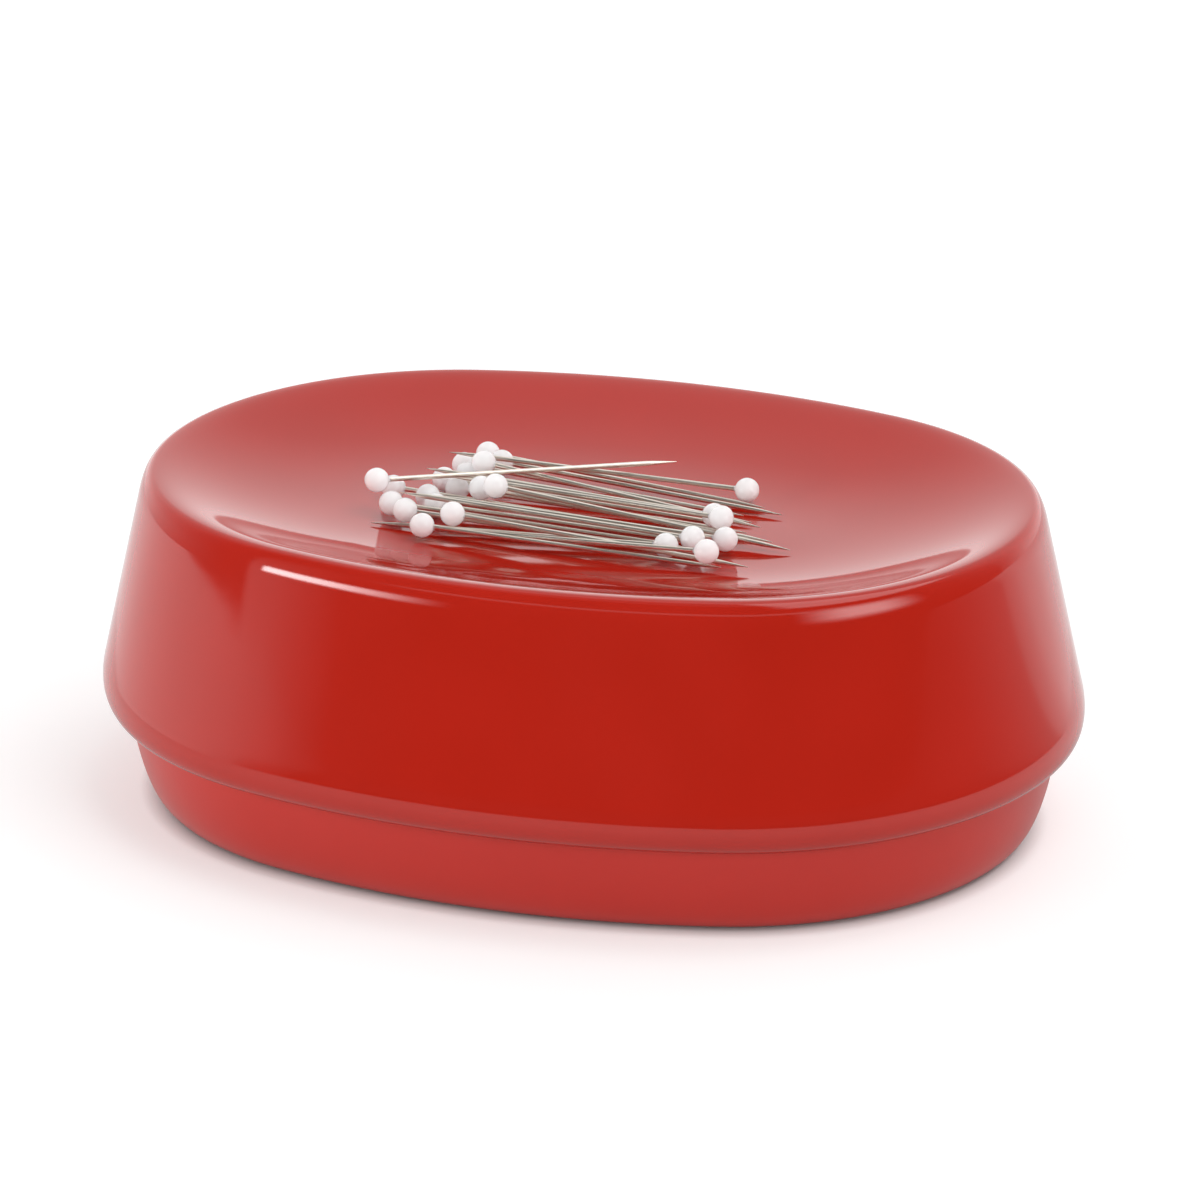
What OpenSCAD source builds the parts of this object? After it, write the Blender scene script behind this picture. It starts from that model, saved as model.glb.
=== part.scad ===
// Magnetic pin bowl: an oval dish over two hidden magnets, on a tapered base, with ball head pins in it.
// It stands on rubber feet at height 0, with its length along X and its front towards -Y.

/* [Outline] */
// Length at the widest line, before that edge is rounded
outline_length = 115; // [106:0.5:130]
// Width at the widest line, before that edge is rounded
outline_width = 86.5; // [84:0.5:92]
// Radius of the arc at each end of the oval
end_radius = 41; // [39:0.1:41.6]

/* [Skirt] */
// Height of the rim's crest above the surface that the bowl stands on
bowl_height = 38.6; // [36.8:0.2:44]
// Height of the widest line
widest_height = 12.4; // [11.8:0.1:15]
// How far the skirt leans in between the widest line and the rim
skirt_lean = 5.8; // [4:0.1:7]
// Length down the skirt that the rounding of the rim takes
rim_round = 3; // [1:0.1:5]
// Length up the skirt that the rounding of the widest line takes
edge_round = 4; // [1:0.1:7]
// Height of the lip where the skirt ends
lip_height = 11.2; // [10:0.1:11.6]
// How far the lip is turned in from the widest line
lip_turn_in = 1.9; // [1.2:0.1:2.4]
// Thickness of the moulded walls
wall = 2.2; // [1.6:0.1:2.6]
// Length of the skirt's inner face that the fillet under the rim takes
inner_fillet = 2.6; // [1.6:0.1:4]

/* [Dish] */
// Depth of the dish's floor below the rim's crest
dish_depth = 4.7; // [3:0.1:5.4]
// Distance of the rim's crest in from the outline
crest_inset = 7; // [6:0.1:8.4]
// Distance in from the outline where the dish's floor becomes level
floor_inset = 34; // [31:0.5:36]
// Length over which the crest eases into the dish
crest_ease = 3.4; // [1:0.1:5]
// Length over which the dish eases into its floor
floor_ease = 17; // [10:0.5:20]

/* [Base] */
// How far the base stands back from the lip
base_step = 1.5; // [1.2:0.1:2.4]
// How far the base narrows from the lip to its foot
base_taper = 3.8; // [2:0.1:6]
// How much of that taper comes above the rounded foot
base_upright = 1.6; // [0.6:0.1:1.9]
// Height above the underside that the rounded foot is drawn towards
foot_round = 0.6; // [0.3:0.1:1]
// Thickness of the base's floor
base_floor = 2; // [1.4:0.1:2.6]
// Height of the locating rim inside the skirt
locating_rim = 3; // [1:0.2:4]
// Gap between moulded parts that fit into each other
fit_gap = 0.15; // [0.1:0.05:0.3]

/* [Magnets] */
// Length of each ferrite block, along Y
magnet_length = 48; // [36:1:50]
// Width of each block, along X
magnet_width = 22; // [18:0.5:24]
// Thickness of each block
magnet_thickness = 9.5; // [7:0.5:10]
// Thickness of the rib between the two blocks
middle_rib = 2; // [1.2:0.1:3]
// Room round each block in its pocket
pocket_gap = 0.3; // [0.1:0.05:0.6]
// Gap between the blocks and the underside of the dish
magnet_air = 0.2; // [0.1:0.05:0.5]
// Thickness of the steel keeper plate under the blocks
keeper_thickness = 1.2; // [0.8:0.1:2]
// Thickness of the foam pad under the keeper
foam_thickness = 2; // [1:0.1:3]
// Wall and floor thickness of the magnet tray
tray_wall = 1.8; // [1.4:0.1:2.4]
// Height of the tray's wall above its floor
tray_depth = 8; // [5:0.5:10]
// Thickness of the tray's screw ears
ear_thickness = 2.4; // [1.8:0.1:3]
// Height of the ears' top above the tray's floor
ear_rise = 2; // [1.4:0.1:2.6]

/* [Screws] */
// Radius of the screws' thread
thread_radius = 1.5; // [1.3:0.1:1.7]
// How deep the thread cuts into the wall of its pilot hole
thread_bite = 0.3; // [0.2:0.05:0.4]
// Gap between a screw's core and its pilot hole
core_gap = 0.05; // [0.02:0.01:0.1]
// Room round a screw in a clearance hole
clear_gap = 0.2; // [0.1:0.05:0.4]
// Radius of the screw heads
head_radius = 2.8; // [2.4:0.1:3.2]
// Height of the screw heads
head_height = 2; // [1.4:0.1:2.4]
// Room round a screw head in its recess
head_room = 0.4; // [0.2:0.1:0.6]
// Radius of the six-sided driver socket
socket_radius = 0.9; // [0.6:0.1:1.2]
// Depth of the driver socket
socket_depth = 1.1; // [0.6:0.1:1.3]
// Length of thread in a boss
thread_depth = 8; // [5:0.5:10]
// Wall of a boss round its pilot hole
boss_wall = 2.2; // [1.6:0.1:2.4]
// Gap between the tray and the bosses beside it
boss_gap = 0.4; // [0.2:0.1:0.6]
// Depth of the base's screw heads above its underside
head_sink = 3.6; // [3:0.1:4.4]
// Thickness of plastic between a base screw's head and its boss
seat_thickness = 2; // [1.6:0.1:2.4]
// Wall of a tower round its screw's recess
tower_wall = 1.4; // [1:0.1:1.8]
// Distance of the base's screws in from the outline
base_screw_inset = 20; // [19:0.5:22]
// Angle of the base's screws round the end arcs
base_screw_angle = 50; // [46:1:60]

/* [Feet] */
// Distance of the feet's middles in from the outline
foot_inset = 14; // [13:0.5:18]
// Angle of the feet round the end arcs
foot_angle = 74; // [70:1:78]
// Radius of the rubber feet
foot_radius = 5; // [4:0.1:5.6]
// Thickness of the feet
foot_thickness = 1.4; // [1:0.1:2]
// How far the feet hold the base off the surface
foot_lift = 0.4; // [0.2:0.1:0.8]
// Room round a foot in its seat
foot_gap = 0.2; // [0.1:0.05:0.4]

/* [Pins] */
// Length of a pin from the middle of its head to its point
pin_length = 35; // [30:0.5:35]
// Diameter of the ball heads
ball_diameter = 2.8; // [2.4:0.1:2.8]
// Diameter of the shafts
shaft_diameter = 0.56; // [0.4:0.02:0.56]
// Length of shaft held in a head
shaft_hold = 2; // [1.4:0.1:2.2]
// Length of the ground point
point_length = 3.5; // [2:0.1:5]
// Diameter of the flat at the very point
point_diameter = 0.06; // [0.04:0.01:0.1]

/* [Hidden] */
$fn = 96;

// The oval is four tangent arcs: two end arcs and two flatter side arcs
half_length = outline_length / 2;
half_width = outline_width / 2;
end_centre = half_length - end_radius;
side_rise = half_width - end_radius;
side_radius = (end_centre * end_centre + half_width * half_width - end_radius * end_radius) / (2 * side_rise);
side_centre = side_radius - half_width;
side_half_angle = atan(end_centre / side_centre);
// Flats that stand for each end arc and each side arc
end_steps = 28;
side_steps = 14;

// Levels and insets of the shells
dish_steps = 14;
edge_steps = 8;
rim_steps = 6;
floor_top = bowl_height - dish_depth;
floor_under = floor_top - wall;
skirt_rise = bowl_height - widest_height;
skirt_length = norm([skirt_lean, skirt_rise]);
wall_across = wall * skirt_length / skirt_rise;
base_inset = lip_turn_in + base_step;
skirt_inside = base_inset - fit_gap;
skirt_full_height = widest_height + (skirt_inside - wall_across) * skirt_rise / skirt_lean;
base_foot_inset = base_inset + base_taper;
base_floor_top = foot_lift + base_floor;

// Levels of the magnets and what carries them, from the top down
magnet_top = floor_under - magnet_air;
keeper_top = magnet_top - magnet_thickness;
foam_top = keeper_top - keeper_thickness;
tray_floor_top = foam_top - foam_thickness;
tray_floor_under = tray_floor_top - tray_wall;
pocket_width = magnet_width + 2 * pocket_gap;
pocket_length = magnet_length + 2 * pocket_gap;
pilot_radius = thread_radius - thread_bite;
clear_radius = thread_radius + clear_gap;
boss_radius = pilot_radius + boss_wall;
magnet_x = (middle_rib + pocket_width) / 2;
tray_inner_x = middle_rib + 2 * pocket_width;
tray_outer_x = tray_inner_x + 2 * tray_wall;
tray_outer_y = pocket_length + 2 * tray_wall;
tray_screw_x = tray_outer_x / 2 + boss_radius + boss_gap;
ear_top = tray_floor_top + ear_rise;
ear_under = ear_top - ear_thickness;

// The base's screws stand on a ring inside the end arcs, no nearer the middle than the tray's screws
base_screw_ring = end_radius - base_screw_inset;
base_screw_x = max(end_centre + base_screw_ring * cos(base_screw_angle), tray_screw_x);
base_screw_y = base_screw_ring * sin(base_screw_angle);
foot_x = end_centre + (end_radius - foot_inset) * cos(foot_angle);
foot_y = (end_radius - foot_inset) * sin(foot_angle);
head_seat = foot_lift + head_sink + head_height;
tower_top = head_seat + seat_thickness;
tower_radius = head_radius + head_room + tower_wall;

// Holes run this far past the faces that they open
past = 1;

// Each pin lies as it fell:
// [head x, head y, lift of its head off the dish's floor, heading, height of its point]
left_pins = [
    [-15.5, -13.1, 0.5, 2, 0.6],
    [-19, -9.2, 0.6, 2, 0.4],
    [-21.5, -7, 0.4, 1, 0.4],
    [-23.5, -1, 0.1, -2, 0.4],
    [-16.8, -5.2, 0.1, 1, 0.4],
    [-18.6, -2.9, 0.2, -1, 0.4],
    [-12.5, -11.3, 1.6, 0, 0.8],
    [-19, 3.5, 0.1, -2, 0.4],
    [-16.5, 1, 0.1, -1, 0.4],
    [-18.5, 8.8, 0.2, -5, 0.4],
    [-17, 5.7, 0.2, -3, 0.4],
    [-12.5, -2, 1.6, -1, 0.8],
    [-17, 12.7, 0.4, -6, 0.4],
    [-14.5, 10.5, 0.4, -5, 0.4],
    [-10, -4, 2.8, 1, 0.4],
    [-14.8, 5.3, 2, -7, 1]
];
right_pins = [
    [15, 11, 0.2, 186, 3.4],
    [14.7, 0, 0.8, 178, 3.4],
    [12.2, -9.6, 0.2, 181, 0.4],
    [17.9, -12.4, 1.1, 178.5, 1]
];

// The pins that nothing holds down: one rides over the pins from the right, and one crosses on top of it
front_pin = [14.8, -8, 0.8, 180, 3.6];
second_pin = [18.1, -6.3, 0.5, 180, 3];
upper_pin = [16.4, -2.6, 1.6, 175, 3.2];
crossing_pin = [-23.6, -6, 2.6, 32.5, 3.4];
ball_radius = ball_diameter / 2;
shaft_radius = shaft_diameter / 2;

// A point of the curve from a to c that heads for b, t running from 0 to 1
function bend(a, b, c, t) = (1 - t) * (1 - t) * a + 2 * t * (1 - t) * b + t * t * c;

// A point of the curve from a to d that leaves towards b and arrives from c
function ease(a, b, c, d, t) =
    pow(1 - t, 3) * a + 3 * t * pow(1 - t, 2) * b + 3 * t * t * (1 - t) * c + pow(t, 3) * d;

// Profiles are lists of [distance in from the outline, height]
rim_corner = [skirt_lean, bowl_height];
edge_corner = [0, widest_height];
lip_point = [lip_turn_in, lip_height];
skirt_slope = (rim_corner - edge_corner) / skirt_length;
crest = [crest_inset, bowl_height];
floor_edge = [floor_inset, floor_top];

edge_curve = [
    for (i = [0:edge_steps])
        bend(lip_point, edge_corner, edge_corner + edge_round * skirt_slope, i / edge_steps)
];
rim_curve = [
    for (i = [0:rim_steps])
        bend(rim_corner - rim_round * skirt_slope, rim_corner, crest, i / rim_steps)
];
dish_curve = [
    for (i = [1:dish_steps])
        ease(crest, crest + [crest_ease, 0], floor_edge - [floor_ease, 0], floor_edge, i / dish_steps)
];

// The bosses end in the middle of the dish's wall
tray_boss_top = lookup(half_length - tray_screw_x, dish_curve) - wall / 2;
base_boss_top = lookup(base_screw_inset, dish_curve) - wall / 2;

// The inner face follows the dish a wall's thickness below, turns down the skirt and ends upright
inner_corner = [skirt_lean * (1 - wall / skirt_rise) + wall_across, bowl_height - wall];
below_rim = inner_corner - inner_fillet * skirt_slope;
under_dish = [
    for (i = [dish_steps - 1:-2:0])
        if (dish_curve[i][0] > inner_corner[0] + inner_fillet / 2) dish_curve[i] - [0, wall]
];
inner_curve = concat(
    under_dish,
    [bend(under_dish[len(under_dish) - 1], inner_corner, below_rim, 0.5), below_rim],
    [[skirt_inside, skirt_full_height]]
);
outer_curve = concat([[skirt_inside, lip_height]], edge_curve, rim_curve, dish_curve);

// The base's wall curves in from under the lip to its rounded foot
base_curve = [
    for (i = [0:edge_steps])
        bend([base_inset, lip_height], [base_inset + base_upright, foot_lift + foot_round],
            [base_foot_inset, foot_lift], i / edge_steps)
];
base_rim_top = lip_height + locating_rim;
base_inner_curve = concat(
    [[base_inset + wall, base_rim_top]],
    [for (p = base_curve) if (p[1] > base_floor_top + wall / 4) p + [wall, 0]],
    [[base_foot_inset + wall, base_floor_top]]
);
base_outer_curve = concat([for (i = [edge_steps:-1:0]) base_curve[i]], [[base_inset, base_rim_top]]);

// Points of an arc round a centre, from one angle towards another in a number of flats, the last left out
function arc(centre, radius, from, to, flats) = [
    for (i = [0:flats - 1])
        let (angle = from + (to - from) * i / flats)
        centre + radius * [cos(angle), sin(angle)]
];

// Points of the front right half of the oval, then its opposite half, at a distance in from the outline
function half_oval(inset) = concat(
    arc([end_centre, 0], end_radius - inset, side_half_angle - 90, 90 - side_half_angle, end_steps),
    arc([0, -side_centre], side_radius - inset, 90 - side_half_angle, 90 + side_half_angle, side_steps)
);
function oval(inset) = let (half = half_oval(inset)) concat(half, [for (p = half) -p]);

// A moulded shell whose wall section is carried round the oval. The section runs anticlockwise with
// the outside on the right, and levels close the oval at the section's point numbered level and the next
module oval_shell(section, level) {
    n = 2 * (end_steps + side_steps);
    m = len(section);
    points = [for (p = section) for (q = oval(p[0])) [q[0], q[1], p[1]]];
    bands = [
        for (j = [0:m - 1], i = [0:n - 1])
            let (k = (i + 1) % n, l = (j + 1) % m)
            if (j != level) [j * n + i, l * n + i, l * n + k, j * n + k]
    ];
    first = level * n;
    second = first + n;
    levels = [
        for (i = [0:n / 2 - 2])
            each [
                [first + n - 1 - i, first + n - 2 - i, first + i + 1, first + i],
                [second + i, second + i + 1, second + n - 2 - i, second + n - 1 - i]
            ]
    ];
    polyhedron(points, concat(bands, levels));
}

module at_tray_screws() {
    for (x = [-tray_screw_x, tray_screw_x])
        translate([x, 0, 0]) children();
}

module at_base_screws() {
    for (x = [-base_screw_x, base_screw_x], y = [-base_screw_y, base_screw_y])
        translate([x, y, 0]) children();
}

module at_feet() {
    for (x = [-foot_x, foot_x], y = [-foot_y, foot_y])
        translate([x, y, 0]) children();
}

// Upright cylinder between two heights
module post(radius, low, high) {
    translate([0, 0, low]) cylinder(r = radius, h = high - low, $fn = 48);
}

module top_moulding() {
    oval_shell(concat(outer_curve, inner_curve), len(outer_curve) - 1);
    at_tray_screws() post(boss_radius, ear_top, tray_boss_top);
    at_base_screws() post(boss_radius, tower_top, base_boss_top);
}

module top_shell() {
    color("#b5261d")
        difference() {
            difference() {
                top_moulding();
                at_tray_screws() post(pilot_radius, ear_top - past, ear_top + thread_depth);
            }
            at_base_screws() post(pilot_radius, tower_top - past, tower_top + thread_depth);
        }
}

module base_moulding() {
    oval_shell(concat(base_inner_curve, base_outer_curve), len(base_inner_curve) - 1);
    at_base_screws() post(tower_radius, base_floor_top - base_floor / 2, tower_top);
}

module base_shell() {
    color("#a92b24")
        difference() {
            difference() {
                base_moulding();
                at_base_screws() {
                    post(head_radius + head_room, foot_lift - past, head_seat);
                    post(clear_radius, foot_lift - past, tower_top + past);
                }
            }
            at_feet() post(foot_radius + foot_gap, foot_lift - past, foot_thickness);
        }
}

// Ferrite block with its corners left square, as pressed
module magnet(side) {
    color("#3c3c40")
        translate([side * magnet_x - magnet_width / 2, -magnet_length / 2, keeper_top])
            cube([magnet_width, magnet_length, magnet_thickness]);
}

module keeper_plate() {
    color("#a9abad")
        translate([-tray_inner_x / 2 + pocket_gap, -magnet_length / 2, foam_top])
            cube([tray_inner_x - 2 * pocket_gap, magnet_length, keeper_thickness]);
}

module foam_pad() {
    color("#55575a")
        translate([-tray_inner_x / 2 + pocket_gap, -magnet_length / 2, tray_floor_top])
            cube([tray_inner_x - 2 * pocket_gap, magnet_length, foam_thickness]);
}

// Open tray that holds the pad, the keeper and the blocks, with an ear at each screw
module magnet_tray() {
    color("#2b2b2e")
        difference() {
            union() {
                translate([-tray_outer_x / 2, -tray_outer_y / 2, tray_floor_under])
                    cube([tray_outer_x, tray_outer_y, tray_wall + tray_depth]);
                at_tray_screws() post(boss_radius, ear_under, ear_top);
                translate([-tray_screw_x, -boss_radius, ear_under])
                    cube([2 * tray_screw_x, 2 * boss_radius, ear_top - ear_under]);
            }
            translate([-tray_inner_x / 2, -pocket_length / 2, tray_floor_top])
                cube([tray_inner_x, pocket_length, tray_depth + past]);
            at_tray_screws() post(clear_radius, ear_under - past, ear_top + past);
        }
}

// Pan head screw standing point up, its head's bearing face at the height of its seat
module screw(seat, reach) {
    color("#b9babc")
        difference() {
            union() {
                post(pilot_radius - core_gap, seat, seat + reach);
                post(head_radius, seat - head_height, seat);
            }
            translate([0, 0, seat - head_height - past])
                cylinder(r = socket_radius, h = socket_depth + past, $fn = 6);
        }
}

// The screws stop short of the ends of their pilot holes
module tray_screws() {
    at_tray_screws() screw(ear_under, ear_thickness + thread_depth - past);
}

module base_screws() {
    at_base_screws() screw(head_seat, seat_thickness + thread_depth - past);
}

module foot(side, end) {
    color("#1d1d1f")
        translate([end * foot_x, side * foot_y, 0])
            cylinder(r = foot_radius, h = foot_thickness);
}

// Carries what is drawn upwards from a head's middle to where each pin lies, its point along the heading
module at_pins(pins) {
    for (p = pins) {
        head_middle = ball_radius + p[2];
        translate([p[0], p[1], floor_top + head_middle])
            rotate([0, 90 + asin((head_middle - p[4]) / pin_length), p[3]])
                children();
    }
}

// Drawn wire with a ground point
module shafts(pins) {
    color("#b8b2a6")
        at_pins(pins) {
            post(shaft_radius, ball_radius - shaft_hold, pin_length - point_length);
            translate([0, 0, pin_length - point_length])
                cylinder(r1 = shaft_radius, r2 = point_diameter / 2, h = point_length, $fn = 32);
        }
}

// Balls moulded on the ends of the shafts
module heads(pins) {
    color("#f5f5f3")
        at_pins(pins)
            difference() {
                sphere(r = ball_radius, $fn = 48);
                post(shaft_radius, ball_radius - shaft_hold, ball_radius + past);
            }
}

top_shell();
base_shell();
magnet(-1);  // magnet_left
magnet(1);  // magnet_right
keeper_plate();
foam_pad();
magnet_tray();
tray_screws();
base_screws();
foot(-1, -1);  // foot_front_left
foot(-1, 1);  // foot_front_right
foot(1, -1);  // foot_rear_left
foot(1, 1);  // foot_rear_right
shafts(left_pins);  // left_pin_shafts
heads(left_pins);  // left_pin_heads
shafts(right_pins);  // right_pin_shafts
heads(right_pins);  // right_pin_heads
shafts([front_pin]);  // front_pin_shaft
heads([front_pin]);  // front_pin_head
shafts([second_pin]);  // second_pin_shaft
heads([second_pin]);  // second_pin_head
shafts([upper_pin]);  // upper_pin_shaft
heads([upper_pin]);  // upper_pin_head
shafts([crossing_pin]);  // crossing_pin_shaft
heads([crossing_pin]);  // crossing_pin_head
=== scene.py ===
# Magnetic pin bowl with ball head pins: its surfaces and finishes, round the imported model.
# Metres, +Z up, the bowl's length along X and its front towards -Y.
import math

import bmesh
import bpy
import numpy as np
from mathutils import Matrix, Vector


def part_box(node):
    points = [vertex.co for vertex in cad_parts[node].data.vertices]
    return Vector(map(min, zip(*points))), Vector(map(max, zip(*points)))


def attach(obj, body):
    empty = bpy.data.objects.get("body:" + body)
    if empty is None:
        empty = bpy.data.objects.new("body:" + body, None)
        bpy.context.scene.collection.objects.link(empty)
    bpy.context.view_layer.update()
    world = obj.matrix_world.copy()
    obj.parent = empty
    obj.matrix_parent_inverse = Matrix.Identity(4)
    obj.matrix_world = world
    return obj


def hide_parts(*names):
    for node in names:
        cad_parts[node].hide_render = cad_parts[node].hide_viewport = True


mm = 0.001
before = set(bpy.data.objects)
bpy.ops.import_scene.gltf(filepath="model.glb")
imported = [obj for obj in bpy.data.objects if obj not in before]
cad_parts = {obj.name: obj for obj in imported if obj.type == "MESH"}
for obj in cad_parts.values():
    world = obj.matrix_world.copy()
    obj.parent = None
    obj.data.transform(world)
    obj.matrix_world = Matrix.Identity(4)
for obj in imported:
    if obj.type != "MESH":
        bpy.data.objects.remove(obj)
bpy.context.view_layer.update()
print("frame loaded,", len(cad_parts), "nodes")

# Camera: a long lens a little to the right of the front, looking down about 20 degrees
camera = {
    "azimuth": 19.154,
    "elevation": 20.276,
    "place": (255.1, -731.3, 310.3),  # mm
    "lens": 217.81,  # mm
    "sensor": 36,
    "clip": (0.01, 100),  # m
}


def addCamera(settings):
    turn = math.radians(settings["azimuth"])
    tilt = math.radians(settings["elevation"])
    back = Vector((math.sin(turn) * math.cos(tilt), -math.cos(turn) * math.cos(tilt), math.sin(tilt)))
    data = bpy.data.cameras.new("camera")
    data.lens = settings["lens"]
    data.sensor_width = settings["sensor"]
    data.clip_start, data.clip_end = settings["clip"]
    seen = bpy.data.objects.new("camera", data)
    seen.location = Vector(settings["place"]) * mm
    seen.rotation_mode = "QUATERNION"
    seen.rotation_quaternion = back.to_track_quat("Z", "Y")
    bpy.context.scene.collection.objects.link(seen)
    bpy.context.scene.camera = seen


addCamera(camera)
bpy.context.scene.view_settings.view_transform = "Standard"
print("camera placed")


# sRGB hex to linear, with alpha 1
def linear(hexColour):
    channels = [int(hexColour[i:i + 2], 16) / 255 for i in (1, 3, 5)]
    return [c / 12.92 if c <= 0.04045 else ((c + 0.055) / 1.055) ** 2.4 for c in channels] + [1.0]


# Adds a node, sets its properties and sockets by name or number, and links other nodes' outputs to its inputs
def addNode(tree, kind, settings=None, links=None):
    node = tree.nodes.new(kind)
    for key, value in (settings or {}).items():
        if isinstance(key, str) and hasattr(node, key):
            setattr(node, key, value)
        else:
            node.inputs[key].default_value = value
    for key, output in (links or {}).items():
        tree.links.new(output, node.inputs[key])
    return node


# A material with one Principled shader, its sockets set from a dictionary
def newMaterial(name, sockets):
    material = bpy.data.materials.new(name)
    material.use_nodes = True
    tree = material.node_tree
    shader = tree.nodes["Principled BSDF"]
    for socket, value in sockets.items():
        shader.inputs[socket].default_value = value
    return material, tree, shader


# The bowl's outline and wall, in mm: insets are distances in from the widest line before it is rounded
bowl = {
    "length": 115,
    "width": 86.5,
    "endRadius": 41,
    "height": 38.6,
    "widestHeight": 12.4,
    "skirtLean": 5.8,
    "rimRound": 3,
    "crestInset": 7,
    "edgeRound": 4,
    "lipHeight": 11.2,
    "lipTurnIn": 1.9,
    "lipCorner": (0.3, -0.25),  # from the lip to the corner that its lower edge rounds
    "lipStep": 0.05,  # drop from the lip to its inner edge
    "dishDepth": 4.7,
    "floorInset": 34,
    "crestEase": 3.4,
    "floorEase": 17,
    "wall": 2.2,
    "skirtWall": 2.244,  # measured level through the leaning skirt
    "skirtInside": 3.25,
    "innerFootRise": 6.5,  # height of the inner face's lowest stretch
    "innerRimDrop": 3,  # along the skirt, from the rim's corner to where the inner face bends in
    "innerRimRound": 2.5,
    "endSteps": 110,
    "sideSteps": 56,
    "floorSteps": 14,
    "dishSteps": 60,
    "rimSteps": 28,
    "skirtSteps": 12,
    "edgeSteps": 20,
    "lipSteps": 4,
    "innerFootSteps": 3,
    "innerSteps": 6,
    "underRimSteps": 11,  # steps of the dish that the inner face cuts off under the rim
    "hardEdge": 50,  # degrees
}


# The four arcs: end arcs of endRadius round +-endCentre, and side arcs tangent to them round the far side's
# centre, whose radius is (endCentre^2 + halfWidth^2 - endRadius^2) / (2 (halfWidth - endRadius))
def ovalArcs(size):
    endRadius = size["endRadius"]
    endCentre = size["length"] / 2 - endRadius
    halfWidth = size["width"] / 2
    sideRadius = (endCentre ** 2 + halfWidth ** 2 - endRadius ** 2) / (2 * (halfWidth - endRadius))
    sideCentre = sideRadius - halfWidth
    return {
        "endCentre": endCentre,
        "sideRadius": sideRadius,
        "sideCentre": sideCentre,
        "sideHalfAngle": math.atan(endCentre / sideCentre),
    }


# Studio: brightness of the surroundings by azimuth in degrees from +X. White paper lies under the bowl and a
# white wall stands behind it, and the room in front is dark but for the soft boxes
studio = {
    "paper": [  # seen on the table
        (-180, 1.3), (-168, 1.35), (-159, 1.35), (-147, 1.2), (-139, 0.95), (-133, 0.4), (-127, 0.08),
        (-110, 0.06), (-50, 0.06), (-9, 0.08), (7, 0.16), (25, 0.4), (32, 0.5), (34, 0.8), (43, 1.15),
        (57, 1.1), (66, 0.95), (100, 0.8), (144, 0.95), (160, 1.15), (180, 1.3),
    ],
    "low": [  # just above the table
        (-180, 0.4), (-168, 0.2), (-159, 0.1), (-149, 0.1), (-146, 0.85), (-139, 0.75), (-133, 0.35),
        (-128, 0.08), (-115, 0.03), (-9, 0.03), (17, 0.05), (39, 0.17), (41, 0.4), (60, 1.3), (95, 1.5),
        (135, 1.4), (150, 1.1), (163, 0.8), (180, 0.4),
    ],
    "high": [  # higher up
        (-180, 0.3), (-165, 0.12), (-115, 0.06), (-9, 0.06), (20, 0.2), (60, 0.8), (90, 0.9),
        (140, 0.85), (165, 0.6), (180, 0.3),
    ],
    "brightest": 2.0,
    "lowTop": 4,  # degrees above the table where the low part gives way
    "highFoot": 38,  # and where the high part begins
    # Painted shadow: brightness of the table's image in reflections round the bowl, by distance from its
    # widest line in mm, dark at the bowl's foot and rising outwards in place of its contact shadow
    "paintedShadowNear": [(-7.4, 0.1), (-6, 0.5), (28, 0.95), (50, 0.95)],
    "paintedShadowEnds": (50, 57),  # mm over which it gives way to the paper's own ramp
    "paperSide": 132,  # azimuth of the side where the paper ends
    "paperReach": 0.245,  # metres from the bowl to that edge
    "paperFade": 0.012,
}
# Soft boxes as ranges of azimuth and elevation in degrees, with the width over which each end fades: one at
# each front corner, a dim strip between them, one high on the right and a faint one right overhead
softBoxes = {
    "left": {
        "azimuth": (-141, -138), "azimuthFade": (2, 26), "elevation": (7.5, 10), "elevationFade": (3, 4),
        "level": 17,
    },
    "right": {
        "azimuth": (-26, -18), "azimuthFade": (24, 22), "elevation": (14, 22), "elevationFade": (8, 14),
        "level": 5,
    },
    "strip": {
        "azimuth": (-118, -44), "azimuthFade": (12, 4), "elevation": (27, 29), "elevationFade": (2, 2),
        "level": 0.8,
    },
    "overhead": {
        "azimuth": (-40, 40), "azimuthFade": (15, 15), "elevation": (50, 85), "elevationFade": (8, 3),
        "level": 2.4,
    },
    "top": {
        "azimuth": (-180, 180), "azimuthFade": (1, 1), "elevation": (70, 90), "elevationFade": (8, 1),
        "level": 0.25,
    },
}
# Wide lamps that only light, in shares of a plain level: reflections show the surroundings instead
lamps = {
    "frontLight": {"place": (0.15, -1.4, 0.5), "size": 1.1, "level": 0.23},
    "leftLight": {"place": (-1.3, -0.6, 0.2), "size": 1.0, "level": 0.46},
    "rightLight": {"place": (1.4, 0.1, 0.25), "size": 1.0, "level": 0.16},
}
floorLook = {
    "size": 12.0,  # m across
    "white": "#D4D4D4",
    "topUp": 0.44,  # what the camera sees beyond the lit floor
    # Painted shade: the camera glow fades in only from the bowl's outline outwards, so the gap under the bowl
    # and a thin band round it read darker than its shadow alone makes them
    "paintedContactShadeFade": (-7.4, -4.5),  # mm from the widest line, so that the gap under the bowl stays dark
}


# Brightness that a value picks along a ramp of (value, level) stops
def rampAlong(tree, value, stops, brightest):
    lowest, highest = float(stops[0][0]), float(stops[-1][0])
    share = addNode(tree, "ShaderNodeMapRange", {"From Min": lowest, "From Max": highest}, {"Value": value})
    ramp = addNode(tree, "ShaderNodeValToRGB", None, {"Fac": share.outputs[0]})
    elements = ramp.color_ramp.elements
    for i, (along, level) in enumerate(stops):
        place = (along - lowest) / (highest - lowest)
        element = elements[i] if i < 2 else elements.new(place)
        element.position = place
        grey = level / brightest
        element.color = (grey, grey, grey, 1)
    scaled = addNode(
        tree, "ShaderNodeMath", {"operation": "MULTIPLY", 1: brightest}, {0: ramp.outputs["Color"]}
    )
    return scaled.outputs[0]


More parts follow.
